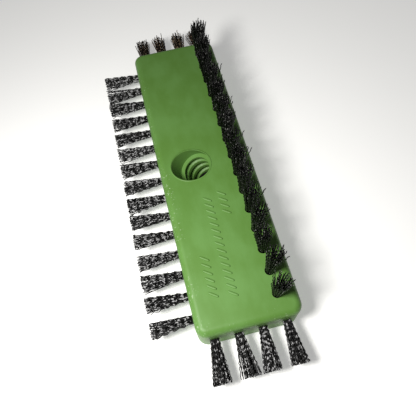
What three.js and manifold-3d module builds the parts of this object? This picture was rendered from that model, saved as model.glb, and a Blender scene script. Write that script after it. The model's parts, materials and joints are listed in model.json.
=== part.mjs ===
// Head of a scrubbing brush for a pole: one moulded block with a slanted, threaded pole socket,
// and four rows of filament tufts set in blind holes. One row leaves the left side, one stands
// on the top face along its right edge, and a short row leaves each end.
//
// Millimetres. X runs across the block towards the standing row, Y along the block and Z up.
// The origin is in the plane of the underside, below the middle of the whole brush.

import * as THREE from "three";
import { mergeVertices } from "three/addons/utils/BufferGeometryUtils.js";
import Module from "manifold-3d";

const wasm = await Module();
wasm.setup();

// ---- Driving dimensions -------------------------------------------------------------------

const INCH = 25.4;

const BLOCK = {
  width: 2.25 * INCH,
  length: 8 * INCH,
  height: INCH,
  cornerRadius: 6,
  topFillet: 4,
  bottomFillet: 1.5,
};

// Every tuft is a bundle of filaments, folded over a wire at the bottom of its hole.
const TUFT = { holeRadius: 2.75, rootRadius: 2.35, footGap: 0.5, tipDome: 1.2 };

const SIDE_ROW = { count: 15, pitch: 0.5 * INCH, reach: 24, holeDepth: 9, tipRadius: 4.6 };
const TOP_ROW = { count: 15, pitch: 0.5 * INCH, reach: 25, holeDepth: 11, tipRadius: 4.9 };
const NEAR_ROW = { count: 4, pitch: 13.3, reach: 22.8, holeDepth: 8.5, tipRadius: 5.3 };
const FAR_ROW = { ...NEAR_ROW, reach: 24.4 };
const SIDE_ROW_HEIGHT = 15.2;
const TOP_ROW_FROM_RIGHT = 11.4;

// Pole socket: a smooth counterbore, then a coarse right-hand thread that comes out below.
// Lengths are along its axis from the centre of the mouth, which lies in the top face.
const SOCKET = {
  mouthFromLeft: 19.6,
  tiltDegrees: 26,
  counterboreRadius: 10.8,
  counterboreDepth: 7,
  ledge: 0.4,
  rootRadius: 9.8,
  crestRadius: 8.4,
  threadPitch: INCH / 4,
  threadStart: 0.52, // share of a turn
};

const FACETS = { tuft: 10, hole: 12, socket: 28, corner: 4, fillet: 4, threadRowsPerPitch: 8 };

// ---- Sizes that follow from them ----------------------------------------------------------

const blockX = SIDE_ROW.reach / 2; // the middle of the block, which has tufts on its left only
const blockY = (NEAR_ROW.reach - FAR_ROW.reach) / 2;
const leftFace = blockX - BLOCK.width / 2;
const rightFace = blockX + BLOCK.width / 2;
const midHeight = BLOCK.height / 2;
const topRowX = rightFace - TOP_ROW_FROM_RIGHT;
const socketTilt = THREE.MathUtils.degToRad(SOCKET.tiltDegrees);

const LEFT = new THREE.Vector3(-1, 0, 0);
const UP = new THREE.Vector3(0, 0, 1);
const NEAR = new THREE.Vector3(0, -1, 0);
const FAR = new THREE.Vector3(0, 1, 0);
const LATHE_AXIS = new THREE.Vector3(0, 1, 0);

// ---- Materials ----------------------------------------------------------------------------

const moulding = new THREE.MeshStandardMaterial({
  name: "green_moulding",
  color: 0x6ba24a,
  roughness: 0.42,
  metalness: 0,
});
const filament = new THREE.MeshStandardMaterial({
  name: "black_filament",
  color: 0x1c1b1a,
  roughness: 0.45,
  metalness: 0,
});

// ---- Solids -------------------------------------------------------------------------------

// A closed geometry as a solid that can be cut.
function solidFrom(geometry) {
  const bare = geometry.clone();
  bare.deleteAttribute("normal");
  bare.deleteAttribute("uv");
  const merged = mergeVertices(bare, 1e-4);
  const vertProperties = new Float32Array(merged.attributes.position.array);
  const triVerts = new Uint32Array(merged.index.array);
  return new wasm.Manifold(new wasm.Mesh({ numProp: 3, vertProperties, triVerts }));
}

// A cut solid as a geometry.
function geometryFrom(solid) {
  const mesh = solid.getMesh();
  const geometry = new THREE.BufferGeometry();
  geometry.setAttribute("position", new THREE.BufferAttribute(mesh.vertProperties, 3));
  geometry.setIndex(new THREE.BufferAttribute(mesh.triVerts, 1));
  geometry.computeVertexNormals();
  return geometry;
}

// The turn and place that send a lathe's axis to a direction, with its zero at a point.
function placement(point, direction) {
  const turn = new THREE.Quaternion().setFromUnitVectors(LATHE_AXIS, direction);
  return new THREE.Matrix4().compose(point, turn, new THREE.Vector3(1, 1, 1));
}

// Equal rings of points, from the lowest to the highest, skinned and closed with flat ends.
function stackedRings(rings) {
  const around = rings[0].length;
  const points = rings.flat();
  const faces = [];
  for (let level = 0; level + 1 < rings.length; level += 1) {
    for (let k = 0; k < around; k += 1) {
      const a = level * around + k;
      const b = level * around + ((k + 1) % around);
      faces.push(a, b, b + around, a, b + around, a + around);
    }
  }
  const top = (rings.length - 1) * around;
  for (let k = 1; k + 1 < around; k += 1) {
    faces.push(0, k + 1, k);
    faces.push(top, top + k, top + k + 1);
  }
  return new THREE.BufferGeometry().setFromPoints(points).setIndex(faces);
}

// ---- Block --------------------------------------------------------------------------------

// The block's outline in plan, drawn in by an inset, at one height.
function outlineAt(inset, z) {
  const radius = BLOCK.cornerRadius - inset;
  const x = BLOCK.width / 2 - BLOCK.cornerRadius;
  const y = BLOCK.length / 2 - BLOCK.cornerRadius;
  const quarter = Math.PI / 2;
  const shape = new THREE.Shape();
  shape.absarc(x, y, radius, 0, quarter);
  shape.absarc(-x, y, radius, quarter, 2 * quarter);
  shape.absarc(-x, -y, radius, 2 * quarter, 3 * quarter);
  shape.absarc(x, -y, radius, 3 * quarter, 4 * quarter);
  const points = shape.getPoints(FACETS.corner / 2);
  if (points[0].distanceTo(points[points.length - 1]) < 1e-6) points.pop();
  return points.map((p) => new THREE.Vector3(blockX + p.x, blockY + p.y, z));
}

// The block before its holes: upright sides, with a round fillet above and a small one below.
function blankBlock() {
  const rings = [];
  for (let k = 0; k <= FACETS.fillet; k += 1) {
    const turn = (k / FACETS.fillet) * (Math.PI / 2);
    const inset = BLOCK.bottomFillet * (1 - Math.sin(turn));
    rings.push(outlineAt(inset, BLOCK.bottomFillet * (1 - Math.cos(turn))));
  }
  for (let k = 0; k <= FACETS.fillet; k += 1) {
    const turn = (k / FACETS.fillet) * (Math.PI / 2);
    const inset = BLOCK.topFillet * (1 - Math.cos(turn));
    rings.push(outlineAt(inset, BLOCK.height - BLOCK.topFillet * (1 - Math.sin(turn))));
  }
  return solidFrom(stackedRings(rings));
}

// Radius of the thread at a length along the socket and an angle round it, which starts on the side
// towards the standing row. The profile is a trapezium: flat roots and crests, with steep flanks
// between, advancing one pitch a turn.
function threadRadius(angle, along) {
  const flat = 0.37;
  const flank = 0.5 - flat;
  const turns = along / SOCKET.threadPitch - angle / (2 * Math.PI) - SOCKET.threadStart;
  const phase = turns - Math.floor(turns);
  const fromRoot = Math.abs(phase - 0.5);
  const rise = THREE.MathUtils.clamp((fromRoot - flat / 2) / flank, 0, 1);
  return THREE.MathUtils.lerp(SOCKET.rootRadius, SOCKET.crestRadius, rise);
}

// What the socket removes: a lathe about the socket's axis, with its wall moved to the thread.
function socketSpace() {
  const overrun = 3;
  const slope = Math.tan(socketTilt);
  const top = SOCKET.counterboreRadius * slope + overrun;
  const threadTop = -SOCKET.counterboreDepth - SOCKET.ledge;
  const exit = BLOCK.height / Math.cos(socketTilt);
  const bottom = -(exit + SOCKET.rootRadius * slope + overrun);
  const rowHeight = SOCKET.threadPitch / FACETS.threadRowsPerPitch;
  const rows = Math.ceil((threadTop - bottom) / rowHeight);
  const profile = [new THREE.Vector2(0, bottom)];
  for (let row = rows; row >= 0; row -= 1) {
    profile.push(new THREE.Vector2(SOCKET.rootRadius, threadTop - (row / rows) * (threadTop - bottom)));
  }
  profile.push(new THREE.Vector2(SOCKET.counterboreRadius, -SOCKET.counterboreDepth));
  profile.push(new THREE.Vector2(SOCKET.counterboreRadius, top), new THREE.Vector2(0, top));
  const lathe = new THREE.LatheGeometry(profile, FACETS.socket);
  const position = lathe.attributes.position;
  for (let k = 0; k < position.count; k += 1) {
    const along = position.getY(k);
    const radius = Math.hypot(position.getX(k), position.getZ(k));
    if (along > threadTop + 1e-3 || radius < 1e-3) continue;
    const angle = Math.atan2(position.getX(k), position.getZ(k)) + socketTilt - Math.PI / 2;
    const scale = threadRadius(angle, along) / radius;
    position.setX(k, position.getX(k) * scale);
    position.setZ(k, position.getZ(k) * scale);
  }
  const outwards = new THREE.Vector3(-Math.sin(socketTilt), 0, Math.cos(socketTilt));
  const mouth = new THREE.Vector3(leftFace + SOCKET.mouthFromLeft, blockY, BLOCK.height);
  return solidFrom(lathe.applyMatrix4(placement(mouth, outwards)));
}

// A blind hole for one tuft, from its mouth inwards.
function holeSpace(seat) {
  const overrun = 1;
  const depth = seat.row.holeDepth;
  const drill = new THREE.CylinderGeometry(TUFT.holeRadius, TUFT.holeRadius, depth + overrun, FACETS.hole);
  drill.translate(0, (overrun - depth) / 2, 0);
  return solidFrom(drill.applyMatrix4(placement(seat.mouth, seat.direction)));
}

// ---- Tufts --------------------------------------------------------------------------------

// Offsets of a row's tufts from its middle.
function offsets(row) {
  return Array.from({ length: row.count }, (_, k) => (k - (row.count - 1) / 2) * row.pitch);
}

// Where each tuft leaves the block, and which way.
function tuftSeats() {
  const number = (k) => String(k + 1).padStart(2, "0");
  const seats = [];
  offsets(SIDE_ROW).forEach((y, k) => {
    const mouth = new THREE.Vector3(leftFace, blockY + y, SIDE_ROW_HEIGHT);
    seats.push({ name: `side_tuft_${number(k)}`, row: SIDE_ROW, mouth, direction: LEFT });
  });
  offsets(TOP_ROW).forEach((y, k) => {
    const mouth = new THREE.Vector3(topRowX, blockY + y, BLOCK.height);
    seats.push({ name: `top_tuft_${number(k)}`, row: TOP_ROW, mouth, direction: UP });
  });
  offsets(NEAR_ROW).forEach((x, k) => {
    const mouth = new THREE.Vector3(blockX + x, blockY - BLOCK.length / 2, midHeight);
    seats.push({ name: `near_tuft_${number(k)}`, row: NEAR_ROW, mouth, direction: NEAR });
  });
  offsets(FAR_ROW).forEach((x, k) => {
    const mouth = new THREE.Vector3(blockX + x, blockY + BLOCK.length / 2, midHeight);
    seats.push({ name: `far_tuft_${number(k)}`, row: FAR_ROW, mouth, direction: FAR });
  });
  return seats;
}

// One tuft: a straight root in its hole, then a spreading brush with a slightly domed end.
function tuftGeometry(row) {
  const foot = TUFT.footGap - row.holeDepth;
  const profile = [
    new THREE.Vector2(0, foot),
    new THREE.Vector2(TUFT.rootRadius, foot),
    new THREE.Vector2(TUFT.rootRadius, 0),
    new THREE.Vector2(row.tipRadius, row.reach - TUFT.tipDome),
    new THREE.Vector2(row.tipRadius * 0.6, row.reach - TUFT.tipDome * 0.3),
    new THREE.Vector2(0, row.reach),
  ];
  return new THREE.LatheGeometry(profile, FACETS.tuft);
}

function tuftMesh(seat) {
  const mesh = new THREE.Mesh(tuftGeometry(seat.row), filament);
  mesh.name = seat.name;
  mesh.position.copy(seat.mouth);
  mesh.quaternion.setFromUnitVectors(LATHE_AXIS, seat.direction);
  return mesh;
}

// ---- Assembly -----------------------------------------------------------------------------

function blockMesh(seats) {
  let solid = blankBlock().subtract(socketSpace());
  for (const seat of seats) solid = solid.subtract(holeSpace(seat));
  const mesh = new THREE.Mesh(geometryFrom(solid), moulding);
  mesh.name = "block";
  return mesh;
}

const seats = tuftSeats();
const brushHead = new THREE.Group();
brushHead.name = "brush_head";
brushHead.add(blockMesh(seats));
for (const seat of seats) brushHead.add(tuftMesh(seat));

export default brushHead;
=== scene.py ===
"""Looks of a pole-mounted scrubbing brush head, built around its CAD frame.

The head is one green moulding with a slanted, threaded pole socket. Four rows of black, crimped
filament tufts are set in blind holes: one row out of the left side, one standing along the right
edge of the top face, and a short row out of each end. A flat wire anchor pins every tuft.

Lengths are metres, in the frame of the CAD part: X across the block, Y along it, Z up.
"""

import json
import logging
import math
from dataclasses import dataclass, field
from enum import Enum
from typing import Sequence, TypeAlias

import bmesh
import bpy
import numpy as np
from mathutils import Matrix, Vector


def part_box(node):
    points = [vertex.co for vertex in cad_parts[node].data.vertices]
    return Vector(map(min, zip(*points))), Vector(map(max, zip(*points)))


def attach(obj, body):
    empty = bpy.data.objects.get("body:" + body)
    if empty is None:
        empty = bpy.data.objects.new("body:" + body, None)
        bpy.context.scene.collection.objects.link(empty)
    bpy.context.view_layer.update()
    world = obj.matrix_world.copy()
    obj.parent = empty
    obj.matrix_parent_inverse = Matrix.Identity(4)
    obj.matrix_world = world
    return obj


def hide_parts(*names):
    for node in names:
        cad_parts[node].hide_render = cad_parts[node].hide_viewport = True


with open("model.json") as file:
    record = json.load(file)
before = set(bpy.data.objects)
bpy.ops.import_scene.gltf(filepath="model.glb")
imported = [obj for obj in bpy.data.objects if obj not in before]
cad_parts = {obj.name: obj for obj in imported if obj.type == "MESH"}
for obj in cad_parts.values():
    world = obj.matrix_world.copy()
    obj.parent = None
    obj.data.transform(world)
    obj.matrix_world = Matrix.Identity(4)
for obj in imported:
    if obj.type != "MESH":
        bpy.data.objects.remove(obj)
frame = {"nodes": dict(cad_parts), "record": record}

LOG = logging.getLogger("brush_head")
MM = 0.001
ROOT_BODY = "root"
GOLDEN_TURN = math.pi * (3.0 - math.sqrt(5.0))

Array = np.ndarray
Triple = tuple[float, float, float]
Colour = tuple[float, float, float, float]
Input: TypeAlias = "Shade | float | Sequence[float]"


# ---- Mesh building ------------------------------------------------------------------------


def unit(vector: Sequence[float]) -> Array:
    """Return a vector scaled to length one."""
    array = np.asarray(vector, float)
    return array / np.linalg.norm(array)


def smooth_step(low: float, high: float, value: Array) -> Array:
    """Rise from 0 to 1 as the value goes from low to high, as 3t^2 - 2t^3."""
    share = np.clip((value - low) / (high - low), 0.0, 1.0)
    return share * share * (3.0 - 2.0 * share)


def full_turn(count: int) -> Array:
    """Return that many angles, evenly spaced round a full turn."""
    return np.linspace(0.0, 2.0 * math.pi, count, endpoint=False)


def signed_power(value: Array, power: float) -> Array:
    """Return a power of the value's size, with the value's sign."""
    return np.sign(value) * np.abs(value) ** power


def grid_faces(rows: int, columns: int) -> Array:
    """Return the quads of a grid that closes on itself across its columns.

    Args:
        rows: Number of rings.
        columns: Points in each ring.

    Returns:
        Point indices, four to a face. Face (i, j) joins points j and j + 1 of rings i and i + 1.
    """
    row, column = np.meshgrid(np.arange(rows - 1), np.arange(columns), indexing="ij")
    here = row * columns + column
    beside = row * columns + (column + 1) % columns
    return np.stack([here, beside, beside + columns, here + columns], axis=-1).reshape(-1, 4)


@dataclass
class Surface:
    """Points and faces of a mesh under construction.

    Attributes:
        points: One row of three coordinates to a point.
        faces: Lists of point indices, in order round each face.
    """

    points: Array
    faces: list[list[int]]

    @classmethod
    def closed_rings(cls, rings: Array) -> "Surface":
        """Skin a stack of equal rings and close its two ends with flat faces.

        Args:
            rings: Array of rings, points and coordinates; rings run anticlockwise seen from the
                last one.

        Returns:
            The closed surface, facing outwards.
        """
        rows, columns, _ = rings.shape
        faces = grid_faces(rows, columns).tolist()
        faces.append(list(range(columns))[::-1])
        faces.append(list(range((rows - 1) * columns, rows * columns)))
        return cls(rings.reshape(-1, 3), faces)

    @classmethod
    def joined(cls, parts: Sequence["Surface"]) -> "Surface":
        """Put several surfaces together as one.

        Args:
            parts: The surfaces.

        Returns:
            One surface that holds them all, each still closed in itself.
        """
        points, faces, first = [], [], 0
        for part in parts:
            points.append(part.points)
            faces += [[index + first for index in face] for face in part.faces]
            first += len(part.points)
        return cls(np.concatenate(points), faces)

    def to_mesh(self, name: str) -> bpy.types.Mesh:
        """Make the surface a Blender mesh.

        Args:
            name: Name of the mesh.

        Returns:
            The mesh.
        """
        mesh = bpy.data.meshes.new(name)
        mesh.from_pydata(self.points.tolist(), [], self.faces)
        mesh.validate()
        mesh.update()
        return mesh


def add_object(name: str, mesh: bpy.types.Mesh) -> bpy.types.Object:
    """Put a mesh in the scene, unturned and unscaled at the origin.

    Args:
        name: Name of the object.
        mesh: Its mesh.

    Returns:
        The object.
    """
    piece = bpy.data.objects.new(name, mesh)
    bpy.context.scene.collection.objects.link(piece)
    return piece


def apply_modifiers(piece: bpy.types.Object) -> None:
    """Replace an object's mesh by the mesh that its modifiers make of it.

    Args:
        piece: The object, which has no modifiers afterwards.
    """
    bpy.context.view_layer.update()
    evaluated = piece.evaluated_get(bpy.context.evaluated_depsgraph_get())
    mesh = bpy.data.meshes.new_from_object(evaluated)
    piece.modifiers.clear()
    old = piece.data
    piece.data = mesh
    mesh.name = piece.name
    bpy.data.meshes.remove(old)


class Join(Enum):
    """What an exact boolean does with its tool."""

    ADD = "UNION"
    CUT = "DIFFERENCE"


def combine(piece: bpy.types.Object, tool: Surface, join: Join) -> None:
    """Join a surface to an object, or cut it away, with an exact boolean.

    Args:
        piece: The object that changes.
        tool: Closed surfaces to join or to take away.
        join: Which of the two.
    """
    helper = add_object("helper", tool.to_mesh("helper"))
    modifier = piece.modifiers.new("combine", "BOOLEAN")
    modifier.operation = join.value
    modifier.solver = "EXACT"
    modifier.object = helper
    apply_modifiers(piece)
    mesh = helper.data
    bpy.data.objects.remove(helper)
    bpy.data.meshes.remove(mesh)


def triangulate(piece: bpy.types.Object) -> None:
    """Split every face of a piece into triangles that don't overlap, however many sides it has.

    Args:
        piece: The piece, whose mesh is changed.
    """
    mesh = bmesh.new()
    mesh.from_mesh(piece.data)
    bmesh.ops.triangulate(mesh, faces=mesh.faces[:], quad_method="BEAUTY", ngon_method="BEAUTY")
    mesh.to_mesh(piece.data)
    mesh.free()


# ---- Shader graphs ------------------------------------------------------------------------


class Shade:
    """A socket's value in a shader graph, with arithmetic that adds Math nodes."""

    def __init__(self, graph: "Graph", socket: bpy.types.NodeSocket) -> None:
        """Wrap one output socket of a graph."""
        self.graph = graph
        self.socket = socket

    def _math(self, operation: str, *values: Input) -> "Shade":
        """Add one Math node on these values and return its result."""
        return self.graph.node("ShaderNodeMath", {"operation": operation}, dict(enumerate(values)))

    def __add__(self, other: Input) -> "Shade":
        """Return self + other."""
        return self._math("ADD", self, other)

    def __sub__(self, other: Input) -> "Shade":
        """Return self - other."""
        return self._math("SUBTRACT", self, other)

    def __mul__(self, other: Input) -> "Shade":
        """Return self * other."""
        return self._math("MULTIPLY", self, other)

    def __rsub__(self, other: Input) -> "Shade":
        """Return other - self."""
        return self._math("SUBTRACT", other, self)

    __radd__ = __add__
    __rmul__ = __mul__

    def larger(self, other: Input) -> "Shade":
        """Return the larger of self and other."""
        return self._math("MAXIMUM", self, other)

    def ramp(self, low: float, high: float) -> "Shade":
        """Rise smoothly from 0 to 1 as the value goes from low up to high, and stay there."""
        settings = {"interpolation_type": "SMOOTHSTEP"}
        return self.graph.node("ShaderNodeMapRange", settings, {0: self, 1: low, 2: high})


class Graph:
    """The node graph of a material or a world, with one shader at its end."""

    def __init__(self, owner: bpy.types.Material | bpy.types.World, shader: str, output: str) -> None:
        """Clear the owner's graph down to a shader and an output.

        Args:
            owner: The material or the world.
            shader: Type of the shader node.
            output: Type of the output node.
        """
        owner.use_nodes = True
        self.owner = owner
        self.tree = owner.node_tree
        self.tree.nodes.clear()
        self.shader = self.tree.nodes.new(shader)
        end = self.tree.nodes.new(output)
        self.tree.links.new(self.shader.outputs[0], end.inputs["Surface"])

    @classmethod
    def material(cls, name: str) -> "Graph":
        """Return the graph of a new material with a Principled shader."""
        return cls(bpy.data.materials.new(name), "ShaderNodeBsdfPrincipled", "ShaderNodeOutputMaterial")

    def put(self, socket: bpy.types.NodeSocket, value: Input) -> None:
        """Link a value to an input socket, or set the socket to it when it is plain.

        Args:
            socket: The input socket.
            value: Another node's result, or a plain value.
        """
        if isinstance(value, Shade):
            self.tree.links.new(value.socket, socket)
        else:
            socket.default_value = value

    def node(
        self,
        kind: str,
        settings: dict[str, str],
        inputs: dict[str | int, Input],
        output: str | int = 0,
    ) -> Shade:
        """Add a node.

        Args:
            kind: The node's type.
            settings: Its properties, which are set first.
            inputs: Values or links of its sockets, by name or number.
            output: Name or number of the output socket to return.

        Returns:
            The chosen output.
        """
        node = self.tree.nodes.new(kind)
        for name, value in settings.items():
            setattr(node, name, value)
        for name, value in inputs.items():
            self.put(node.inputs[name], value)
        return Shade(self, node.outputs[output])

    def place(self) -> Shade:
        """Return the Object coordinates."""
        return self.node("ShaderNodeTexCoord", {}, {}, "Object")

    def axes(self) -> tuple[Shade, Shade, Shade]:
        """Return the X, Y and Z of the Object coordinates."""
        place = self.place()
        return tuple(self.node("ShaderNodeSeparateXYZ", {}, {0: place}, axis) for axis in range(3))

    def stretched(self, scale: Triple) -> Shade:
        """Return the Object coordinates, scaled along each axis."""
        return self.node("ShaderNodeMapping", {}, {"Vector": self.place(), "Scale": scale})

    def noise(self, scale: float, detail: float, rough: float = 0.5, at: Shade | None = None) -> Shade:
        """Return a noise from 0 to 1, of that many waves to a metre, on the Object or other coordinates."""
        inputs = {"Vector": at or self.place(), "Scale": scale, "Detail": detail, "Roughness": rough}
        return self.node("ShaderNodeTexNoise", {}, inputs, "Fac")

    def attribute(self, name: str) -> Shade:
        """Return the value of a mesh attribute."""
        return self.node("ShaderNodeAttribute", {"attribute_name": name}, {}, "Fac")

    def mix(self, factor: Input, first: Input, second: Input) -> Shade:
        """Return a colour between two, by a factor from 0 to 1."""
        return self.node("ShaderNodeMix", {"data_type": "RGBA"}, {0: factor, 6: first, 7: second}, 2)

    def bump(self, height: Shade, distance: float, strength: float) -> Shade:
        """Return a normal that follows a height, which 0 to 1 makes that many metres."""
        inputs = {"Height": height, "Distance": distance, "Strength": strength}
        return self.node("ShaderNodeBump", {}, inputs, "Normal")

    def finish(self, **inputs: Input) -> bpy.types.Material | bpy.types.World:
        """Set the shader's sockets.

        Args:
            inputs: Values or links, by socket name with underscores for spaces.

        Returns:
            The graph's owner, a material or a world.
        """
        for name, value in inputs.items():
            self.put(self.shader.inputs[name.replace("_", " ")], value)
        return self.owner


def rgba(red: float, green: float, blue: float) -> Colour:
    """Return an opaque colour."""
    return (red, green, blue, 1.0)


# ---- Finishes -----------------------------------------------------------------------------


@dataclass(frozen=True)
class GreenMoulding:
    """Satin green plastic, faintly mottled, with pale scuffs where the edges rub.

    Attributes:
        low: Lowest corner of the block.
        high: Highest corner of the block.
        base: Colour of the plastic.
        deep: Colour where it is a little darker.
        scuff: Colour of the chalky scuffs.
        clouds: Soft clouds of colour to a metre.
        streaks: Finer streaks along the block to a metre.
        patches: Patches of scuffing to a metre.
        specks: Scuff marks to a metre.
        skin: Waves of the moulded skin to a metre.
        grain: Waves of its finest grain to a metre.
        left_band: Distances from the left side over which the scuffing fades.
        near_band: Distances from the near end over which it fades.
        near_length: Length at the near end along which the left side is scuffed most.
        edge_band: Depths below the top face between which the side is scuffed less and less.
        relief: Depth of the skin's relief.
        relief_strength: How strongly the relief turns the light.
        rough: Roughness of the clean plastic.
        gloss: Its specular level.
    """

    low: Vector
    high: Vector
    base: Colour = rgba(0.120, 0.262, 0.061)
    deep: Colour = rgba(0.098, 0.220, 0.039)
    scuff: Colour = rgba(0.30, 0.43, 0.23)
    clouds: float = 45.0
    streaks: float = 160.0
    patches: float = 110.0
    specks: float = 900.0
    skin: float = 420.0
    grain: float = 2600.0
    left_band: tuple[float, float] = (0.5 * MM, 9.0 * MM)
    near_band: tuple[float, float] = (1.0 * MM, 16.0 * MM)
    near_length: float = 40.0 * MM
    edge_band: tuple[float, float] = (2.0 * MM, 7.0 * MM)
    relief: float = 0.05 * MM
    relief_strength: float = 0.55
    rough: float = 0.42
    gloss: float = 0.38

    def build(self) -> bpy.types.Material:
        """Mottle the colour, and lay scuffs along the left side and the near end.

        Returns:
            The material.
        """
        graph = Graph.material("green_moulding")
        across, along, up = graph.axes()
        cloud = graph.noise(self.clouds, 3.0)
        streak = graph.noise(self.streaks, 4.0, 0.6, graph.stretched((1.0, 0.35, 1.0)))
        mottle = cloud * 0.65 + streak * 0.35
        plastic = graph.mix(mottle.ramp(0.36, 0.66), self.deep, self.base)

        left = 1.0 - (across - self.low.x).ramp(*self.left_band)
        near = 1.0 - (along - self.low.y).ramp(*self.near_band)
        near_part = 1.0 - along.ramp(self.low.y + self.near_length, self.high.y)
        edge = up.ramp(self.high.z - self.edge_band[1], self.high.z - self.edge_band[0])
        rubbed = (left * (0.35 + near_part * 0.65)).larger(near * left.larger(0.45))
        patchy = graph.noise(self.patches, 2.0).ramp(0.42, 0.60)
        wear = rubbed * patchy * edge + 0.035
        speck = graph.noise(self.specks, 2.0, 0.6).ramp(0.60, 0.72)
        scuffs = (speck * wear * 1.6).ramp(0.02, 0.85)
        fine = graph.noise(self.grain, 2.0)
        skin = graph.noise(self.skin, 3.0, 0.55)
        height = skin * 0.7 + fine * 0.3 + scuffs * 0.8
        return graph.finish(
            Base_Color=graph.mix(scuffs, plastic, self.scuff),
            Roughness=self.rough + cloud * 0.12 + scuffs * 0.3,
            Specular_IOR_Level=self.gloss,
            Normal=graph.bump(height, self.relief, self.relief_strength),
        )


@dataclass(frozen=True)
class BlackFilament:
    """Black filament with painted glints: pale spots in its colour, most on the crests of its waves.

    Attributes:
        name: Name of the material.
        black: Colour of a strand.
        pale: Colour of the painted glints.
        pale_from: Level of glint spots, crest and strand tone together at which a painted glint starts.
        fade: Rise of that level over which a painted glint comes up.
        glint_fleck: Painted glint spots to a metre.
        glint_fleck_weight: What a painted glint spot adds to the level.
        crest_weight: What the crest of a wave adds to it.
        tone_weight: What the strand's own tone adds to it.
        rough: Roughness of a clean strand.
        gloss: Its specular level.
        relief: Depth of the glint spots' relief.
        relief_strength: How strongly the relief turns the light.
    """

    name: str = "black_filament"
    black: Colour = rgba(0.003, 0.003, 0.003)
    pale: Colour = rgba(0.46, 0.46, 0.47)
    pale_from: float = 1.02
    fade: float = 0.22
    glint_fleck: float = 750.0
    glint_fleck_weight: float = 0.75
    crest_weight: float = 0.5
    tone_weight: float = 0.4
    rough: float = 0.30
    gloss: float = 0.22
    relief: float = 0.03 * MM
    relief_strength: float = 0.3

    def build(self) -> bpy.types.Material:
        """Add up glint spots, crest and strand tone; where the sum is high, paint a pale glint.

        Returns:
            The material.
        """
        graph = Graph.material(self.name)
        tone = graph.attribute(Tuft.TONE)
        crest = graph.attribute(Tuft.CREST)
        # Painted glints: pale spots of base colour in place of light caught on the crimped strands.
        glint_fleck = graph.noise(self.glint_fleck, 1.0).ramp(0.42, 0.60)
        level = glint_fleck * self.glint_fleck_weight + crest * self.crest_weight + tone * self.tone_weight
        pale = level.ramp(self.pale_from, self.pale_from + self.fade)
        return graph.finish(
            Base_Color=graph.mix(pale, self.black, self.pale),
            Roughness=self.rough + tone * 0.15,
            Specular_IOR_Level=self.gloss,
            Normal=graph.bump(glint_fleck, self.relief, self.relief_strength),
        )


@dataclass(frozen=True)
class AnchorWire:
    """Drawn steel wire with fine scratches that run along the block.

    Attributes:
        dark: Colour between the scratches.
        bright: Colour of the scratches.
        scratches: Scratches to a metre.
        rough: Roughness between the scratches.
    """

    dark: Colour = rgba(0.42, 0.41, 0.39)
    bright: Colour = rgba(0.60, 0.59, 0.57)
    scratches: float = 1800.0
    rough: float = 0.28

    def build(self) -> bpy.types.Material:
        """Lay the scratches over the steel.

        Returns:
            The material.
        """
        graph = Graph.material("anchor_wire")
        draw = graph.noise(self.scratches, 2.0, 0.5, graph.stretched((1.0, 0.1, 1.0)))
        return graph.finish(
            Base_Color=graph.mix(draw, self.dark, self.bright),
            Metallic=1.0,
            Roughness=self.rough + draw * 0.15,
        )


@dataclass(frozen=True)
class PaleFloor:
    """Matt, nearly white floor, lit a little from below as a light table is.

    Attributes:
        dark: Colour of its darker grain.
        light: Colour of its lighter grain.
        glow_colour: Colour of its own light.
        glow: Strength of its own light.
        grain: Waves of grain to a metre.
    """

    dark: Colour = rgba(0.88, 0.88, 0.87)
    light: Colour = rgba(0.90, 0.90, 0.89)
    glow_colour: Colour = rgba(1.0, 1.0, 0.99)
    glow: float = 0.35
    grain: float = 30.0

    def build(self) -> bpy.types.Material:
        """Give the floor its faint grain and its glow.

        Returns:
            The material.
        """
        graph = Graph.material("pale_floor")
        return graph.finish(
            Base_Color=graph.mix(graph.noise(self.grain, 2.0), self.dark, self.light),
            Roughness=0.8,
            Emission_Color=self.glow_colour,
            Emission_Strength=self.glow,
        )


@dataclass(frozen=True)
class PaintedShadeDisc:
    """Black disc of painted shade, for the floor under the socket's exit.

    Attributes:
        dark: Darker colour of the painted shade.
        light: Lighter colour of the painted shade.
        shade_noise: Waves of faint noise in the painted shade to a metre.
    """

    dark: Colour = rgba(0.004, 0.004, 0.004)
    light: Colour = rgba(0.009, 0.008, 0.008)
    shade_noise: float = 900.0

    def build(self) -> bpy.types.Material:
        """Give the painted shade a faint noise.

        Returns:
            The material.
        """
        graph = Graph.material("painted_shade_disc")
        return graph.finish(
            Base_Color=graph.mix(graph.noise(self.shade_noise, 2.0), self.dark, self.light),
            Roughness=0.95,
            Specular_IOR_Level=0.1,
        )


# ---- Pole socket --------------------------------------------------------------------------


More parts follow.
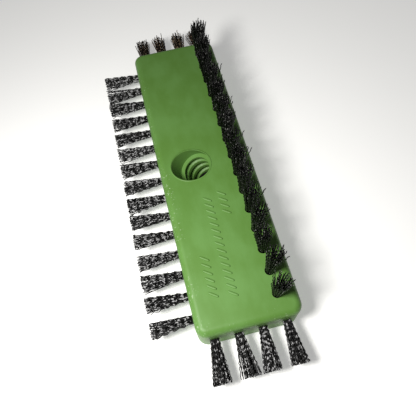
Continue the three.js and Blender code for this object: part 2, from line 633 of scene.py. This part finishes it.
@dataclass
class PoleSocket:
    """Slanted socket for a threaded pole: a counterbore with a rounded rim, then the thread.

    Attributes:
        mouth: Centre of the mouth, in the top face.
        axis: Direction out of the mouth.
        thickness: Thickness of the block that it goes through.
        bore_radius: Radius of the counterbore.
        bore_depth: Depth of the counterbore, along the axis.
        ledge: Fall of the step between the counterbore and the thread.
        root_radius: Radius of the thread at its roots.
        crest_radius: Radius of the thread at its crests.
        pitch: Pitch of the thread.
        thread_start: Share of a pitch by which the thread is turned.
        flat_share: Share of a pitch over which the root is flat, and the crest too.
        rim_round: Radius of the rim's rounding.
        rim_start: Angle at which the rounding starts, in quarter turns.
        lip_width: Width of the lip at its foot.
        lip_height: Height of the lip.
        lip_levels: Levels of the lip's rings, as shares of its height; the first is sunk.
        lip_draw: Share of the squared width that the lip loses on its way up.
        beyond: How far the space runs on past the block.
        around: Points in each ring.
        rows_per_pitch: Rings to a pitch of thread.
        bore_rows: Rings up the counterbore.
        rim_rows: Rings round the rim.
    """

    mouth: Array
    axis: Array
    thickness: float
    bore_radius: float = 10.8 * MM
    bore_depth: float = 7.0 * MM
    ledge: float = 0.4 * MM
    root_radius: float = 9.8 * MM
    crest_radius: float = 8.4 * MM
    pitch: float = 6.35 * MM
    thread_start: float = 0.52
    flat_share: float = 0.34
    rim_round: float = 0.25 * MM
    rim_start: float = 0.15
    lip_width: float = 1.0 * MM
    lip_height: float = 0.28 * MM
    lip_levels: tuple[float, ...] = (-0.3, 0.0, 0.35, 0.65, 0.9, 1.0)
    lip_draw: float = 0.75
    beyond: float = 2.0 * MM
    around: int = 112
    rows_per_pitch: int = 22
    bore_rows: int = 10
    rim_rows: int = 6

    def thread_radius(self, angle: Array, along: Array) -> Array:
        """Radius of the thread's wall: flat roots and crests, joined by smooth flanks.

        Args:
            angle: Angle round the axis.
            along: Length along the axis, outwards.

        Returns:
            The radius; the profile moves one pitch along in each turn, as a right-hand thread.
        """
        phase = (along / self.pitch - angle / (2.0 * math.pi) - self.thread_start) % 1.0
        from_root = np.abs(phase - 0.5)
        rise = smooth_step(self.flat_share / 2.0, 0.5 - self.flat_share / 2.0, from_root)
        return self.root_radius + (self.crest_radius - self.root_radius) * rise

    @property
    def exit(self) -> Vector:
        """Middle of the opening in the underside, where the axis comes out."""
        return Vector(self.mouth - self.axis * (self.thickness / self.axis[2]))

    def lip(self) -> Surface:
        """Make the low lip round the mouth, as a shallow oval plate for the socket to cut.

        Its outline is the mouth's oval, R / cos(tilt) by R, widened by w sqrt(1 - d s^2), where w
        is the lip's width, s the share of its height and d the share that it draws in.

        Returns:
            The plate, sunk a little into the top face.
        """
        turn = full_turn(self.around)
        share = np.array(self.lip_levels)[:, None]
        outset = self.lip_width * np.sqrt(1.0 - np.maximum(share, 0.0) ** 2 * self.lip_draw)
        x = (self.bore_radius / self.axis[2] + outset) * np.cos(turn)
        y = (self.bore_radius + outset) * np.sin(turn)
        z = self.lip_height * share * np.ones_like(turn)
        return Surface.closed_rings(self.mouth + np.stack([x, y, z], axis=-1))

    def space(self) -> Surface:
        """Make the closed space that the socket takes out of the block.

        Its wall is a grid of the angle round the axis and the length along it. Each column runs
        from below the underside up to the plane of the top face, and on above it. The rim is
        rounded there: at an angle t it lies r (1 - sin t) deep, spread outwards by r (1 - cos t).

        Returns:
            The space, which stands out of the block at both ends.
        """
        angle = full_turn(self.around)
        side = unit(np.cross((0.0, 1.0, 0.0), self.axis))
        level = np.array((0.0, 1.0, 0.0))
        spoke = np.cos(angle)[:, None] * side + np.sin(angle)[:, None] * level
        slope = side[2] / self.axis[2]

        bottom = -(self.thickness / self.axis[2] + self.root_radius * abs(slope) + self.beyond)
        thread_top = -(self.bore_depth + self.ledge)
        count = int(math.ceil((thread_top - bottom) / self.pitch * self.rows_per_pitch))
        thread_rows = np.linspace(bottom, thread_top, count)
        along = np.repeat(thread_rows[:, None], self.around, axis=1)
        radius = self.thread_radius(angle[None, :], along)

        surface_along = -self.bore_radius * np.cos(angle) * slope
        under_rim = surface_along - self.rim_round / self.axis[2]
        shares = np.linspace(0.0, 1.0, self.bore_rows)[:, None]
        bore_along = -self.bore_depth + shares * (under_rim[None, :] + self.bore_depth)
        along = np.concatenate([along, bore_along])
        radius = np.concatenate([radius, np.full_like(bore_along, self.bore_radius)])
        wall = self.mouth + along[..., None] * self.axis + radius[..., None] * spoke

        outward = np.cos(angle)[:, None] * np.array((abs(self.axis[2]), 0.0, 0.0))
        outward = outward + np.sin(angle)[:, None] * level
        outward /= np.linalg.norm(outward, axis=1, keepdims=True)
        on_top = self.mouth + surface_along[:, None] * self.axis + self.bore_radius * spoke
        turn = np.linspace(self.rim_start, 1.0, self.rim_rows)[:, None, None] * math.pi / 2.0
        lean = self.rim_round * (1.0 - np.sin(turn)) / self.axis[2]
        spread = self.rim_round * (1.0 - np.cos(turn))
        rim = on_top - lean * self.axis + spread * outward
        above = rim[-1:] + np.array((0.0, 0.0, self.beyond))
        return Surface.closed_rings(np.concatenate([wall, rim, above]))


# ---- Block --------------------------------------------------------------------------------


@dataclass
class RibBand:
    """A band of short raised ribs on the top face, side by side along the block.

    Attributes:
        across: Middle of the band, from the middle of the block.
        start: End of the band nearest the block's middle, along the block.
        count: Number of ribs.
        step: Distance from rib to rib.
        half_length: Half the length of a rib.
        half_width: Half the width of a rib.
        height: Height of a rib.
        sink: How far a rib's foot is sunk into the top face.
        slant: Angle of a rib to the line across the block.
        around: Points in each ring of a rib.
        rows: Rings from a rib's foot to its crest.
        top_turn: Angle that the crest's ring lies at, in half turns.
    """

    across: float
    start: float
    count: int
    step: float = 4.1 * MM
    half_length: float = 3.1 * MM
    half_width: float = 0.75 * MM
    height: float = 0.6 * MM
    sink: float = 0.3 * MM
    slant: float = math.radians(-36.0)
    around: int = 20
    rows: int = 5
    top_turn: float = 0.46

    def ribs(self, middle: Vector) -> list[Surface]:
        """Make the ribs as closed domes sunk a little into the top face.

        A rib's rings are ovals cos^0.7 by sin^0.7, which shrink towards its crest as cos^0.6 of an
        angle while its height grows as the sine. Each rib is turned by the slant.

        Args:
            middle: Middle of the top face.

        Returns:
            The ribs, one surface each.
        """
        turn = full_turn(self.around)
        round_x = signed_power(np.cos(turn), 0.7)
        round_y = signed_power(np.sin(turn), 0.7)
        rise = np.linspace(0.0, self.top_turn, self.rows) * math.pi
        size = np.concatenate([[1.0], np.cos(rise) ** 0.6])
        level = np.concatenate([[-self.sink], self.height * np.sin(rise) / math.sin(rise[-1])])
        rib_x = self.half_length - self.half_width * (1.0 - size[:, None])
        flat_x = rib_x * round_x
        flat_y = self.half_width * size[:, None] * round_y
        slant_x = flat_x * math.cos(self.slant) - flat_y * math.sin(self.slant)
        slant_y = flat_x * math.sin(self.slant) + flat_y * math.cos(self.slant)
        rings = np.stack([slant_x, slant_y, level[:, None] * np.ones_like(turn)], axis=-1)
        places = [
            (middle.x + self.across, middle.y + self.start - k * self.step, middle.z)
            for k in range(self.count)
        ]
        return [Surface.closed_rings(rings + np.array(place)) for place in places]


@dataclass
class BlockMoulding:
    """The block: rounded corners, a generous top fillet, tuft holes and the pole socket.

    Attributes:
        low: Lowest corner.
        high: Highest corner.
        socket: The pole socket.
        tufts: The tufts, each of which has a hole.
        corner_radius: Radius of the corners, seen from above.
        top_fillet: Radius of the fillet round the top face.
        bottom_fillet: Radius of the fillet round the underside.
        flat_margin: Width of the flat border inside each fillet, which keeps its shading clean.
        corner_points: Points round each corner.
        bottom_rows: Rings up the bottom fillet.
        top_rows: Rings up the top fillet.
        hole_radius: Radius of a tuft's hole.
        hole_sides: Sides of a tuft's hole.
        hole_start: How far outside the block the cut for a hole starts.
        sharp_angle: Angle between faces from which an edge is sharp.
        bands: Bands of ribs on the top face.
    """

    low: Vector
    high: Vector
    socket: PoleSocket
    tufts: list["Tuft"]
    corner_radius: float = 6.0 * MM
    top_fillet: float = 4.0 * MM
    bottom_fillet: float = 1.5 * MM
    flat_margin: float = 0.35 * MM
    corner_points: int = 12
    bottom_rows: int = 7
    top_rows: int = 12
    hole_radius: float = 2.7 * MM
    hole_sides: int = 28
    hole_start: float = 1.0 * MM
    sharp_angle: float = math.radians(32.0)
    bands: tuple[RibBand, ...] = (
        RibBand(across=3.9 * MM, start=-24.0 * MM, count=4),
        RibBand(across=-5.0 * MM, start=-26.0 * MM, count=15),
        RibBand(across=-15.2 * MM, start=-61.0 * MM, count=6),
    )

    def outlines(self, inset: Array, height: Array) -> Array:
        """Draw the plan outline several times, drawn in by an inset and lifted to a height.

        It is four quarter circles of the corner radius less the inset, joined by straight sides.

        Args:
            inset: How far each outline is drawn in.
            height: Height of each outline.

        Returns:
            Array of outlines, points and coordinates.
        """
        centre = (self.low + self.high) / 2.0
        reach_x = (self.high.x - self.low.x) / 2.0 - self.corner_radius
        reach_y = (self.high.y - self.low.y) / 2.0 - self.corner_radius
        quarter = np.linspace(0.0, math.pi / 2.0, self.corner_points)
        turn = np.concatenate([quarter + k * math.pi / 2.0 for k in range(4)])
        sign_x = np.repeat([1.0, -1.0, -1.0, 1.0], self.corner_points)
        sign_y = np.repeat([1.0, 1.0, -1.0, -1.0], self.corner_points)
        radius = self.corner_radius - inset[:, None]
        x = centre.x + sign_x * reach_x + radius * np.cos(turn)
        y = centre.y + sign_y * reach_y + radius * np.sin(turn)
        z = height[:, None] * np.ones_like(turn)
        return np.stack([x, y, z], axis=-1)

    def skin(self) -> Surface:
        """Make the outer skin: the outline carried up through both fillets.

        At an angle t up a fillet of radius r the outline is drawn in by r (1 - cos t) and lies
        r (1 - sin t) from the face.

        Returns:
            The closed skin.
        """
        lower = np.linspace(math.pi / 2.0, 0.0, self.bottom_rows)
        upper = np.linspace(0.0, math.pi / 2.0, self.top_rows)
        inset = [
            [self.bottom_fillet + self.flat_margin],
            self.bottom_fillet * (1.0 - np.cos(lower)),
            self.top_fillet * (1.0 - np.cos(upper)),
            [self.top_fillet + self.flat_margin],
        ]
        height = [
            [self.low.z],
            self.low.z + self.bottom_fillet * (1.0 - np.sin(lower)),
            self.high.z - self.top_fillet * (1.0 - np.sin(upper)),
            [self.high.z],
        ]
        return Surface.closed_rings(self.outlines(np.concatenate(inset), np.concatenate(height)))

    def hole(self, tuft: "Tuft") -> Surface:
        """Make the cut for one tuft's blind hole, as a cylinder that starts outside the block.

        Args:
            tuft: The tuft.

        Returns:
            The cylinder.
        """
        turn = full_turn(self.hole_sides)
        circle = np.cos(turn)[:, None] * tuft.along_row + np.sin(turn)[:, None] * tuft.across_row
        depths = np.array([-tuft.hole_depth, self.hole_start])
        rings = tuft.mouth + depths[:, None, None] * tuft.direction + self.hole_radius * circle
        return Surface.closed_rings(rings)

    def build(self) -> bpy.types.Object:
        """Mould the block: join the lip and the ribs to its skin, then cut the socket and holes.

        Returns:
            The finished block, riding on the frame in place of its CAD node.
        """
        top = Vector(((self.low.x + self.high.x) / 2.0, (self.low.y + self.high.y) / 2.0, self.high.z))
        piece = add_object("block_moulding", self.skin().to_mesh("block_moulding"))
        ribs = [rib for band in self.bands for rib in band.ribs(top)]
        combine(piece, Surface.joined([self.socket.lip(), *ribs]), Join.ADD)
        holes = [self.hole(tuft) for tuft in self.tufts]
        combine(piece, Surface.joined([self.socket.space(), *holes]), Join.CUT)
        triangulate(piece)
        piece.data.shade_smooth()
        piece.data.set_sharp_from_angle(angle=self.sharp_angle)
        piece.data.materials.clear()
        piece.data.materials.append(GreenMoulding(self.low, self.high).build())
        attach(piece, ROOT_BODY)
        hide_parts("block")
        return piece


# ---- Tufts --------------------------------------------------------------------------------


@dataclass(frozen=True)
class Scatter:
    """How much the strands of a tuft differ from one another.

    Attributes:
        tip: Spread of a tip's place.
        lean: Spread of the whole tuft's lean, at its tip.
        kick: Least and most that a stray strand stands out, in millimetres.
        cut_slope: Spread of the slope of the cut across the tips.
        trim: Spread of how far a strand falls short of the cut.
        short_share: Share of strands that are cut shorter.
        short_by: Least and most that these are shorter, in millimetres.
        phase: Spread of the waves' phase, in radians.
        wave: Spread of the waves' length, as a share of it.
        side: Spread of the way the waves swing, in radians.
    """

    tip: float = 0.30 * MM
    lean: float = 0.7 * MM
    kick: tuple[float, float] = (0.8, 2.6)
    cut_slope: float = 0.055
    trim: float = 0.5 * MM
    short_share: float = 0.10
    short_by: tuple[float, float] = (0.5, 1.8)
    phase: float = 0.8
    wave: float = 0.035
    side: float = 0.9


@dataclass
class Tuft:
    """One tuft: strands folded over an anchor in a hole, which spread and crimp outside it.

    Attributes:
        node: Name of the CAD node that it replaces.
        mouth: Centre of the hole's mouth.
        direction: Way out of the hole.
        along_row: Direction of the row that it stands in.
        reach: Length outside the block.
        hole_depth: Depth of the hole.
        tip_along: Half width of the tip, along the row.
        tip_across: Half width of the tip, across the row.
        stray_share: Share of strands that stand out from the tuft.
        crimp: Height of the strands' waves.
        wave: Length of the strands' waves.
        seed: Seed of its random numbers.
        scatter: How much its strands differ.
        strands: Number of strands.
        strand_radius: Radius of a strand.
        root_radius: Radius of the tuft in its hole.
        foot_gap: Gap between the strands' feet and the bottom of the hole.
        foot_draw: Width of the tuft at its feet, as a share of its width at the mouth.
        flare: Power of the length out of the hole that the tuft widens with.
        crimp_start: Length out of the hole over which the waves grow to their height.
        steps: Points of a strand outside the hole.
        sides: Sides of a strand.
    """

    TONE = "strand_tone"
    CREST = "strand_crest"

    node: str
    mouth: Array
    direction: Array
    along_row: Array
    reach: float
    hole_depth: float
    tip_along: float
    tip_across: float
    stray_share: float
    crimp: float
    wave: float
    seed: int
    scatter: Scatter = Scatter()
    strands: int = 64
    strand_radius: float = 0.28 * MM
    root_radius: float = 2.6 * MM
    foot_gap: float = 0.7 * MM
    foot_draw: float = 0.92
    flare: float = 1.06
    crimp_start: float = 3.0 * MM
    steps: int = 18
    sides: int = 3

    @property
    def across_row(self) -> Array:
        """Direction across the row, which makes a right-handed set with the other two."""
        return np.cross(self.direction, self.along_row)

    def ends(self, random: np.random.Generator) -> tuple[Array, Array]:
        """Place the strands' roots and tips, as lengths along and across the row.

        A root and its tip lie at the same share of the tuft's width and height, in a spiral that
        fills a circle evenly. Stray strands are moved outwards at their tips.

        Args:
            random: Source of random numbers.

        Returns:
            The roots and the tips.
        """
        number = np.arange(self.strands)
        share = np.sqrt((number + 0.5) / self.strands)
        turn = number * GOLDEN_TURN + random.uniform(0.0, 2.0 * math.pi)
        root = share[:, None] * np.stack([np.cos(turn), np.sin(turn)], axis=-1)
        tip = root * np.array([self.tip_along, self.tip_across])
        tip = tip + random.normal(0.0, self.scatter.tip, tip.shape)
        root = root * (self.root_radius - self.strand_radius)

        lean = random.normal(0.0, self.scatter.lean, 2)
        stray = random.random(self.strands) < self.stray_share
        kick = random.uniform(*self.scatter.kick, self.strands)[:, None] * MM
        outward = tip / np.maximum(np.linalg.norm(tip, axis=1, keepdims=True), 1e-6)
        return root, tip + lean + np.where(stray[:, None], kick * outward, 0.0)

    def lengths(self, random: np.random.Generator, tip: Array) -> Array:
        """Cut the strands off on a slightly sloping plane, some of them a little short.

        Args:
            random: Source of random numbers.
            tip: The strands' tips, along and across the row.

        Returns:
            Each strand's length outside the hole, never past the tuft's reach.
        """
        scatter = self.scatter
        cut_slope = random.normal(0.0, scatter.cut_slope, 2)
        trim = tip @ cut_slope - np.abs(random.normal(0.0, scatter.trim, self.strands))
        short = random.random(self.strands) < scatter.short_share
        trim = trim - np.where(short, random.uniform(*scatter.short_by) * MM, 0.0)
        return np.clip(self.reach + trim, 0.0, self.reach - self.strand_radius)

    def centre_lines(self, random: np.random.Generator) -> tuple[Array, Array]:
        """Lead each strand from its foot in the hole, through its root at the mouth, to its tip.

        Outside the hole it runs straight, and a sine wave of its own phase moves it sideways,
        growing over the first few millimetres.

        Args:
            random: Source of random numbers.

        Returns:
            Points of the centre lines, and at each point the height of the wave from 0 to 1.
        """
        scatter = self.scatter
        root, tip = self.ends(random)
        length = self.lengths(random, tip)
        out = np.linspace(0.0, 1.0, self.steps)[None, :] * length[:, None]
        spread = (out / self.reach) ** self.flare
        plane = root[:, None, :] + (tip - root)[:, None, :] * spread[..., None]
        phase = random.uniform(0.0, 2.0 * math.pi) + random.normal(0.0, scatter.phase, self.strands)
        wave = self.wave * random.normal(1.0, scatter.wave, self.strands)
        swing = np.sin(2.0 * math.pi * out / wave[:, None] + phase[:, None])
        crest = np.concatenate([np.zeros((self.strands, 1)), 0.5 + 0.5 * swing], axis=1)
        swing = swing * self.crimp * smooth_step(0.0, self.crimp_start, out)
        side = random.uniform(0.0, 2.0 * math.pi) + random.normal(0.0, scatter.side, self.strands)
        plane = plane + swing[..., None] * np.stack([np.cos(side), np.sin(side)], axis=-1)[:, None, :]

        foot_level = self.foot_gap - self.hole_depth
        out = np.concatenate([np.full((self.strands, 1), foot_level), out], axis=1)
        plane = np.concatenate([root[:, None, :] * self.foot_draw, plane], axis=1)
        lines = self.mouth + out[..., None] * self.direction
        lines = lines + plane[..., :1] * self.along_row + plane[..., 1:] * self.across_row
        return lines, crest

    def tubes(self, lines: Array, start: Array) -> Surface:
        """Carry a small ring along every strand and close its ends with flat faces.

        At each point of a centre line the ring lies in the plane square to the line.

        Args:
            lines: Points of the centre lines.
            start: Angle at which each strand's rings begin.

        Returns:
            All the strands, each a closed tube.
        """
        tangent = np.gradient(lines, axis=1)
        tangent /= np.linalg.norm(tangent, axis=-1, keepdims=True)
        first = self.along_row - (tangent @ self.along_row)[..., None] * tangent
        first /= np.linalg.norm(first, axis=-1, keepdims=True)
        second = np.cross(tangent, first)
        turn = start[:, None] + full_turn(self.sides)
        ring = np.cos(turn)[:, None, :, None] * first[:, :, None, :]
        ring = ring + np.sin(turn)[:, None, :, None] * second[:, :, None, :]
        points = lines[:, :, None, :] + self.strand_radius * ring

        rows = lines.shape[1]
        each = rows * self.sides
        starts = np.arange(self.strands)[:, None] * each
        quads = (grid_faces(rows, self.sides)[None] + starts[:, :, None]).reshape(-1, 4)
        foot = np.arange(self.sides)[::-1] + starts
        end = np.arange(each - self.sides, each) + starts
        return Surface(points.reshape(-1, 3), quads.tolist() + foot.tolist() + end.tolist())

    def build(self, finish: bpy.types.Material) -> bpy.types.Object:
        """Build the tuft's strands, with their tone and the height of their waves as attributes.

        Args:
            finish: Material of the strands.

        Returns:
            The finished tuft, riding on the frame in place of its CAD node.
        """
        random = np.random.default_rng(self.seed)
        lines, crest = self.centre_lines(random)
        start = random.uniform(0.0, 2.0 * math.pi, self.strands)
        name = self.node.replace("tuft", "strands")
        mesh = self.tubes(lines, start).to_mesh(name)
        tone = random.random(self.strands)
        levels = {
            self.TONE: np.repeat(tone, lines.shape[1] * self.sides),
            self.CREST: np.repeat(crest.ravel(), self.sides),
        }
        for level, values in levels.items():
            store = mesh.attributes.new(level, "FLOAT", "POINT")
            store.data.foreach_set("value", values.astype(np.float32))
        mesh.shade_smooth()
        mesh.materials.append(finish)
        piece = add_object(name, mesh)
        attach(piece, ROOT_BODY)
        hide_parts(self.node)
        return piece


class RowPlace(Enum):
    """The four rows of tufts: node prefix, way out of the block and direction of the row."""

    SIDE = ("side_tuft_", (-1.0, 0.0, 0.0), (0.0, 1.0, 0.0))
    TOP = ("top_tuft_", (0.0, 0.0, 1.0), (0.0, 1.0, 0.0))
    NEAR = ("near_tuft_", (0.0, -1.0, 0.0), (1.0, 0.0, 0.0))
    FAR = ("far_tuft_", (0.0, 1.0, 0.0), (1.0, 0.0, 0.0))


@dataclass
class TuftRow:
    """One row of tufts, placed from the CAD nodes it replaces.

    Attributes:
        place: Which row it is.
        finish: Its filament.
        tip_along: Half width of a tip, along the row.
        tip_across: Half width of a tip, across the row.
        stray_share: Share of strands that stand out from their tuft.
        crimp: Height of the strands' waves.
        wave: Length of the strands' waves.
        below_foot: How much deeper a hole is than the foot of its CAD node.
        seed_step: Distance between the seeds of one row and the next.
        tufts: The row's tufts, once they are found.
    """

    place: RowPlace
    finish: BlackFilament
    tip_along: float
    tip_across: float
    stray_share: float = 0.05
    crimp: float = 0.27 * MM
    wave: float = 4.2 * MM
    below_foot: float = 0.5 * MM
    seed_step: int = 1000
    tufts: list[Tuft] = field(default_factory=list)

    def find(self, block_low: Vector, block_high: Vector) -> list[Tuft]:
        """Work out each tuft of the row from its CAD node's box.

        Args:
            block_low: Lowest corner of the block.
            block_high: Highest corner of the block.

        Returns:
            The row's tufts, in the order of their names.
        """
        prefix, way_out, along_row = self.place.value
        direction = np.array(way_out)
        axis = int(np.argmax(np.abs(direction)))
        outward = direction[axis] > 0.0
        face = (block_high if outward else block_low)[axis]
        first_seed = self.seed_step * (list(RowPlace).index(self.place) + 1)
        for number, node in enumerate(sorted(n for n in frame["nodes"] if n.startswith(prefix))):
            low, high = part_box(node)
            mouth = np.array((low + high) / 2.0)
            mouth[axis] = face
            tip = (high if outward else low)[axis]
            foot = (low if outward else high)[axis]
            self.tufts.append(
                Tuft(
                    node=node,
                    mouth=mouth,
                    direction=direction,
                    along_row=np.array(along_row),
                    reach=abs(tip - face),
                    hole_depth=abs(face - foot) + self.below_foot,
                    tip_along=self.tip_along,
                    tip_across=self.tip_across,
                    stray_share=self.stray_share,
                    crimp=self.crimp,
                    wave=self.wave,
                    seed=first_seed + number,
                )
            )
        return self.tufts

    def build(self) -> None:
        """Build the row's tufts in one filament."""
        material = self.finish.build()
        for tuft in self.tufts:
            piece = tuft.build(material)
            LOG.info("%s: %d faces", piece.name, len(piece.data.polygons))


@dataclass
class AnchorRow:
    """The flat wires that pin a row's tufts, one pinched across the bottom of each hole.

    Attributes:
        row: The row of tufts.
        half_length: Half the length of a wire.
        half_height: Half its height, along the hole.
        half_thickness: Half its thickness.
        above_floor: Height of its middle above the bottom of the hole.
        around: Points in its section.
        sharp_angle: Angle between faces from which an edge is sharp.
    """

    row: TuftRow
    half_length: float = 2.45 * MM
    half_height: float = 0.9 * MM
    half_thickness: float = 0.22 * MM
    above_floor: float = 1.3 * MM
    around: int = 16
    sharp_angle: float = math.radians(40.0)

    def wire(self, tuft: Tuft) -> Surface:
        """Make one anchor: a squared oval section carried across the hole.

        The section is cos^0.5 by sin^0.5 of an angle, scaled to the wire's thickness and height.

        Args:
            tuft: The tuft that it pins.

        Returns:
            The closed wire.
        """
        turn = full_turn(self.around)
        thick = signed_power(np.cos(turn), 0.5) * self.half_thickness
        tall = signed_power(np.sin(turn), 0.5) * self.half_height
        section = thick[:, None] * tuft.across_row + tall[:, None] * tuft.direction
        centre = tuft.mouth + (self.above_floor - tuft.hole_depth) * tuft.direction
        ends = np.array([-1.0, 1.0])[:, None, None] * self.half_length * tuft.along_row
        return Surface.closed_rings(centre + ends + section)

    def build(self, material: bpy.types.Material) -> bpy.types.Object:
        """Build the row's anchors as one piece of separate wires.

        Args:
            material: Finish of the wires.

        Returns:
            The piece, riding on the frame.
        """
        name = self.row.place.name.lower() + "_row_anchors"
        mesh = Surface.joined([self.wire(tuft) for tuft in self.row.tufts]).to_mesh(name)
        mesh.shade_smooth()
        mesh.set_sharp_from_angle(angle=self.sharp_angle)
        mesh.materials.append(material)
        piece = add_object(name, mesh)
        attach(piece, ROOT_BODY)
        return piece


# ---- Stage --------------------------------------------------------------------------------


@dataclass
class Studio:
    """Floor, light and camera round the brush head.

    Attributes:
        top_centre: Middle of the block's top face.
        socket_exit: Middle of the socket's opening in the underside.
        camera_offset: Place of the camera, from the middle of the top face.
        azimuth: Turn of the view from the block's length, to the right.
        elevation: How far the view looks down.
        roll: Turn of the camera about its own view.
        lens: Focal length of the camera, in millimetres.
        sensor: Width of its sensor, in millimetres.
        clip_start: Distance at which it starts to see.
        key_offset: Place of the light, from the middle of the top face.
        key_aim: Point that it is aimed at, from the middle of the top face.
        key_size: Width of the light.
        key_power: Its power, in watts.
        key_colour: Its colour.
        fill_colour: Colour of the surround.
        low_fill: Strength of the surround from below.
        high_fill: Strength of the surround from above.
        floor_reach: Half the width of the floor.
        floor_level: Height of the floor, just under the block.
        shade_disc_radius: Radius of the black disc of painted shade.
        shade_disc_points: Points round that disc.
    """

    top_centre: Vector
    socket_exit: Vector
    camera_offset: Triple = (-22.0 * MM, -139.5 * MM, 216.7 * MM)
    azimuth: float = math.radians(8.55)
    elevation: float = math.radians(63.23)
    roll: float = math.radians(-5.88)
    lens: float = 36.3
    sensor: float = 36.0
    clip_start: float = 10.0 * MM
    key_offset: Triple = (-125.0 * MM, -108.0 * MM, 224.0 * MM)
    key_aim: Triple = (0.0, -94.0 * MM, 0.0)
    key_size: float = 0.08
    key_power: float = 1.09
    key_colour: Triple = (1.0, 0.985, 0.955)
    fill_colour: Colour = rgba(1.0, 0.99, 0.97)
    low_fill: float = 0.035
    high_fill: float = 0.13
    floor_reach: float = 1.5
    floor_level: float = -0.2 * MM
    shade_disc_radius: float = 13.0 * MM
    shade_disc_points: int = 48

    def floor(self) -> None:
        """Lay the floor just under the block, and a disc of painted shade below the socket's exit.

        The disc lies wholly under the block and is seen only through the socket, as shade at its exit.
        """
        reach = self.floor_reach
        corners = np.array([(-reach, -reach), (reach, -reach), (reach, reach), (-reach, reach)])
        level = np.full((len(corners), 1), self.floor_level)
        mesh = Surface(np.hstack([corners, level]), [[0, 1, 2, 3]]).to_mesh("floor")
        mesh.materials.append(PaleFloor().build())
        add_object("floor", mesh)

        # Painted shade: a black disc on the floor, under the socket's exit.
        turn = full_turn(self.shade_disc_points)
        x = self.socket_exit.x + self.shade_disc_radius * np.cos(turn)
        y = self.socket_exit.y + self.shade_disc_radius * np.sin(turn)
        disc = np.stack([x, y, np.full_like(turn, self.floor_level / 2.0)], axis=-1)
        shade_disc = Surface(disc, [list(range(self.shade_disc_points))]).to_mesh("socket_shade_disc")
        shade_disc.materials.append(PaintedShadeDisc().build())
        add_object("socket_shade_disc", shade_disc)

    def lights(self) -> None:
        """Hang one soft light to the left, and set a pale surround that is brightest overhead."""
        scene = bpy.context.scene
        world = Graph(bpy.data.worlds.new("studio"), "ShaderNodeBackground", "ShaderNodeOutputWorld")
        way = world.node("ShaderNodeTexCoord", {}, {}, "Generated")
        rise = world.node("ShaderNodeSeparateXYZ", {}, {0: way}, "Z")
        fill = world.node("ShaderNodeMapRange", {}, {0: rise, 3: self.low_fill, 4: self.high_fill})
        scene.world = world.finish(Color=self.fill_colour, Strength=fill)

        light = bpy.data.lights.new("key", "AREA")
        light.shape = "DISK"
        light.size = self.key_size
        light.energy = self.key_power
        light.color = self.key_colour
        lamp = bpy.data.objects.new("key", light)
        lamp.location = self.top_centre + Vector(self.key_offset)
        backwards = Vector(self.key_offset) - Vector(self.key_aim)
        lamp.rotation_euler = backwards.to_track_quat("Z", "Y").to_euler()
        scene.collection.objects.link(lamp)

    def camera(self) -> None:
        """Set the camera, looking down along the block from its near end."""
        level = math.cos(self.elevation)
        forward = Vector(
            (level * math.sin(self.azimuth), level * math.cos(self.azimuth), -math.sin(self.elevation))
        )
        flat_right = forward.cross(Vector((0.0, 0.0, 1.0))).normalized()
        flat_up = flat_right.cross(forward)
        right = flat_right * math.cos(self.roll) + flat_up * math.sin(self.roll)
        up = right.cross(forward)
        turn = Matrix((right, up, -forward)).transposed()
        lens = bpy.data.cameras.new("camera")
        lens.lens = self.lens
        lens.sensor_width = self.sensor
        lens.clip_start = self.clip_start
        eye = bpy.data.objects.new("camera", lens)
        place = self.top_centre + Vector(self.camera_offset)
        eye.matrix_world = Matrix.Translation(place) @ turn.to_4x4()
        bpy.context.scene.collection.objects.link(eye)
        bpy.context.scene.camera = eye

    def build(self) -> None:
        """Make the whole stage."""
        self.floor()
        self.lights()
        self.camera()
        bpy.context.scene.view_settings.view_transform = "Standard"


# ---- The whole brush head -----------------------------------------------------------------


def tuft_rows() -> list[TuftRow]:
    """Give each row its filament, its spread and its waves.

    Returns:
        The four rows, in the order in which they are built.
    """
    black = BlackFilament()
    # The far row's pale spots are brown: partly painted glints, partly lighter weathered strands.
    weathered = BlackFilament(
        name="weathered_filament",
        black=rgba(0.010, 0.007, 0.005),
        pale=rgba(0.27, 0.20, 0.13),
        rough=0.4,
    )
    # The standing row gets fewer, dimmer painted glints; the near row larger, fewer ones.
    standing = BlackFilament(name="standing_filament", pale=rgba(0.20, 0.20, 0.19), pale_from=1.27)
    trailing = BlackFilament(name="trailing_filament", pale_from=1.10, glint_fleck=650.0)
    return [
        TuftRow(
            RowPlace.SIDE,
            black,
            tip_along=4.8 * MM,
            tip_across=3.8 * MM,
            stray_share=0.07,
            crimp=0.5 * MM,
            wave=5.0 * MM,
        ),
        TuftRow(RowPlace.TOP, standing, tip_along=5.0 * MM, tip_across=5.2 * MM, stray_share=0.08),
        TuftRow(
            RowPlace.NEAR,
            trailing,
            tip_along=5.1 * MM,
            tip_across=3.8 * MM,
            stray_share=0.08,
            crimp=0.34 * MM,
            wave=2.9 * MM,
        ),
        TuftRow(
            RowPlace.FAR,
            weathered,
            tip_along=4.8 * MM,
            tip_across=4.2 * MM,
            stray_share=0.18,
            crimp=0.25 * MM,
            wave=2.9 * MM,
        ),
    ]


def main() -> None:
    """Build the brush head and its stage, piece by piece."""
    logging.basicConfig(level=logging.INFO, format="%(name)s: %(message)s", force=True)
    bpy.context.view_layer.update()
    low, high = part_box("block")
    rows = tuft_rows()
    tufts = [tuft for row in rows for tuft in row.find(low, high)]
    mount = next(m for m in frame["record"]["mounts"] if m["name"] == "pole_socket")
    socket = PoleSocket(np.array(mount["pos_m"]), unit(mount["axis"]), high.z - low.z)
    Studio(Vector(((low.x + high.x) / 2.0, (low.y + high.y) / 2.0, high.z)), socket.exit).build()
    block = BlockMoulding(low, high, socket, tufts).build()
    LOG.info("%s: %d faces", block.name, len(block.data.polygons))
    for row in rows:
        row.build()
    wire = AnchorWire().build()
    for row in rows:
        LOG.info("%s", AnchorRow(row).build(wire).name)


if __name__ == "__main__":
    main()
